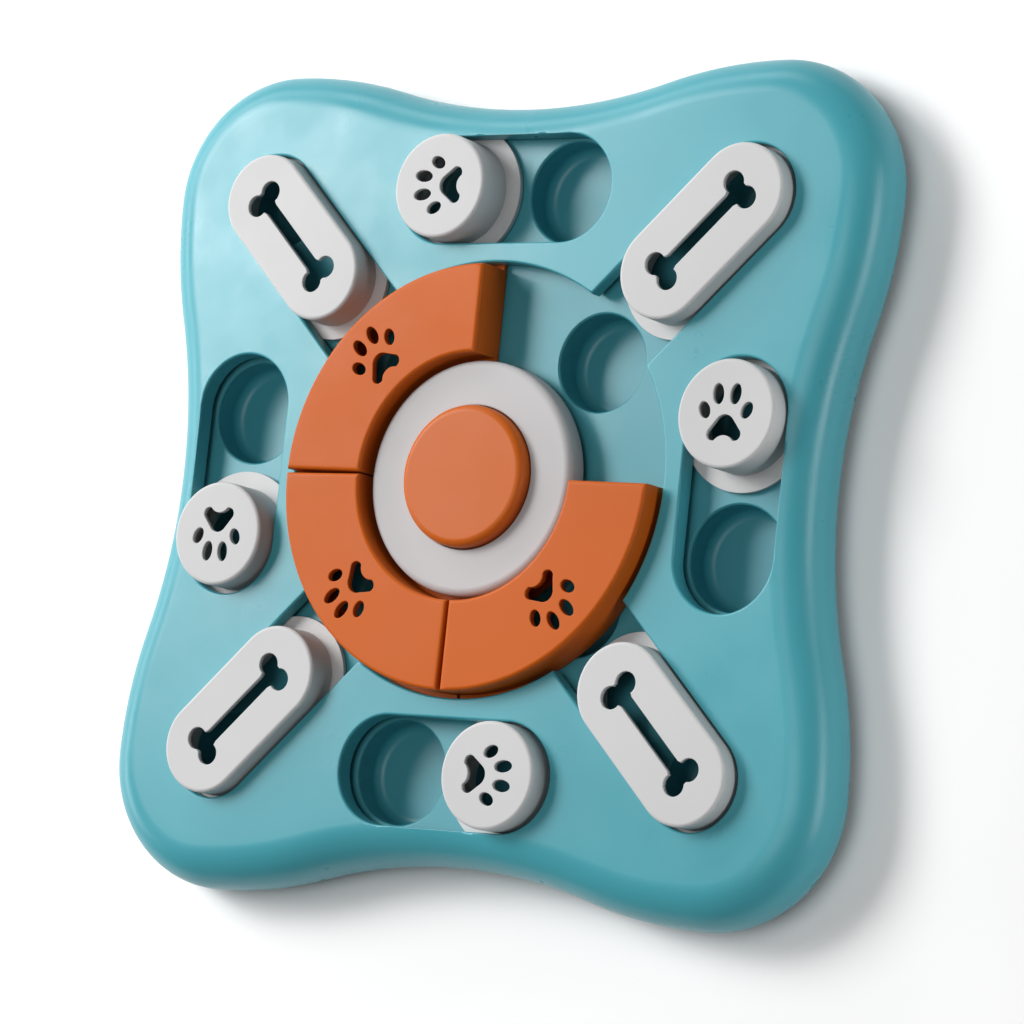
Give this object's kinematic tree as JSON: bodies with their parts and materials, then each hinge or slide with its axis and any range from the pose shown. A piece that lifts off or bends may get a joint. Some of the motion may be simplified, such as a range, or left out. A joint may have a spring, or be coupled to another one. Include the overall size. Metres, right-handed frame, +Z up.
{
  "type": "dog puzzle feeder",
  "caption": "Lobed square treat puzzle with sliding round and bone-shaped caps in slots, covers turning in a ring, treat cups under them and a squeaking centre button.",
  "frame": {"origin": "middle of the board in plan, on the floor plane under the rubber feet", "axes": "+Z up out of the playing face; +X to the right and +Y away from the keeper, each through the middle of a side slot"},
  "size_m": [0.2594, 0.2594, 0.0312],
  "materials": {
    "shell_teal": "satin",
    "tray_teal": "satin",
    "slider_white": "satin",
    "cover_orange": "satin",
    "button_orange": "satin",
    "guide_white": "satin",
    "rubber_grey": "matte",
    "screw_steel": "zinc plated"
  },
  "bodies": {
    "base": {"top_cover": "shell_teal", "lower_tray": "tray_teal", "cups_slot_top": "tray_teal", "cups_slot_right": "tray_teal", "cups_slot_bottom": "tray_teal", "cups_slot_left": "tray_teal", "cup_ring_ur": "tray_teal", "cup_ring_ul": "tray_teal", "cup_ring_ll": "tray_teal", "cup_ring_lr": "tray_teal", "cup_bone_ur": "tray_teal", "cup_bone_ul": "tray_teal", "cup_bone_ll": "tray_teal", "cup_bone_lr": "tray_teal", "hub_disc": "slider_white", "body_screws": "screw_steel", "hub_screws": "screw_steel", "foot_ul": "rubber_grey", "foot_ur": "rubber_grey", "foot_ll": "rubber_grey", "foot_lr": "rubber_grey", "squeak_bulb": "rubber_grey", "squeak_reed": "guide_white"},
    "button": {"squeak_button": "button_orange", "button_collar": "button_orange"},
    "paw_top": {"paw_cap_top": "slider_white", "paw_guide_top": "guide_white"},
    "paw_right": {"paw_cap_right": "slider_white", "paw_guide_right": "guide_white"},
    "paw_bottom": {"paw_cap_bottom": "slider_white", "paw_guide_bottom": "guide_white"},
    "paw_left": {"paw_cap_left": "slider_white", "paw_guide_left": "guide_white"},
    "bone_ur": {"bone_cap_ur": "slider_white", "bone_guide_ur": "guide_white"},
    "bone_ul": {"bone_cap_ul": "slider_white", "bone_guide_ul": "guide_white"},
    "bone_ll": {"bone_cap_ll": "slider_white", "bone_guide_ll": "guide_white"},
    "bone_lr": {"bone_cap_lr": "slider_white", "bone_guide_lr": "guide_white"},
    "arc_lr": {"arc_cover_lr": "cover_orange", "arc_runner_lr": "cover_orange"},
    "arc_ll": {"arc_cover_ll": "cover_orange", "arc_runner_ll": "cover_orange"},
    "arc_ul": {"arc_cover_ul": "cover_orange", "arc_runner_ul": "cover_orange"}
  },
  "joints": [
    {"name": "paw_top_slide", "type": "slide", "parent": "base", "child": "paw_top", "axis": [1, 0, 0], "range_m": [-0.0014, 0.0414]},
    {"name": "paw_right_slide", "type": "slide", "parent": "base", "child": "paw_right", "axis": [0, -1, 0], "range_m": [-0.0014, 0.0414]},
    {"name": "paw_bottom_slide", "type": "slide", "parent": "base", "child": "paw_bottom", "axis": [-1, 0, 0], "range_m": [-0.0014, 0.0414]},
    {"name": "paw_left_slide", "type": "slide", "parent": "base", "child": "paw_left", "axis": [0, 1, 0], "range_m": [-0.0014, 0.0414]},
    {"name": "bone_ur_slide", "type": "slide", "parent": "base", "child": "bone_ur", "axis": [-0.7071, -0.7071, 0], "range_m": [0, 0.03]},
    {"name": "bone_ul_slide", "type": "slide", "parent": "base", "child": "bone_ul", "axis": [0.7071, -0.7071, 0], "range_m": [0, 0.004]},
    {"name": "bone_ll_slide", "type": "slide", "parent": "base", "child": "bone_ll", "axis": [0.7071, 0.7071, 0], "range_m": [0, 0.004]},
    {"name": "bone_lr_slide", "type": "slide", "parent": "base", "child": "bone_lr", "axis": [-0.7071, 0.7071, 0], "range_m": [0, 0.004]},
    {"name": "arc_lr_turn", "type": "hinge", "parent": "base", "child": "arc_lr", "pos_m": [0, 0, 0], "axis": [0, 0, 1], "range_deg": [-270, 0]},
    {"name": "arc_ll_turn", "type": "hinge", "parent": "base", "child": "arc_ll", "pos_m": [0, 0, 0], "axis": [0, 0, 1], "range_deg": [-270, 0]},
    {"name": "arc_ul_turn", "type": "hinge", "parent": "base", "child": "arc_ul", "pos_m": [0, 0, 0], "axis": [0, 0, 1], "range_deg": [-270, 0]},
    {"name": "button_press", "type": "slide", "parent": "base", "child": "button", "axis": [0, 0, 1], "range_m": [-0.0032, 0], "stiffness_N_per_m": 1500, "deforming": ["squeak_bulb"]}
  ],
  "couplings": [
    {"joint": "arc_ll_turn", "follows": "arc_lr_turn", "ratio": 1},
    {"joint": "arc_ul_turn", "follows": "arc_lr_turn", "ratio": 1}
  ]
}
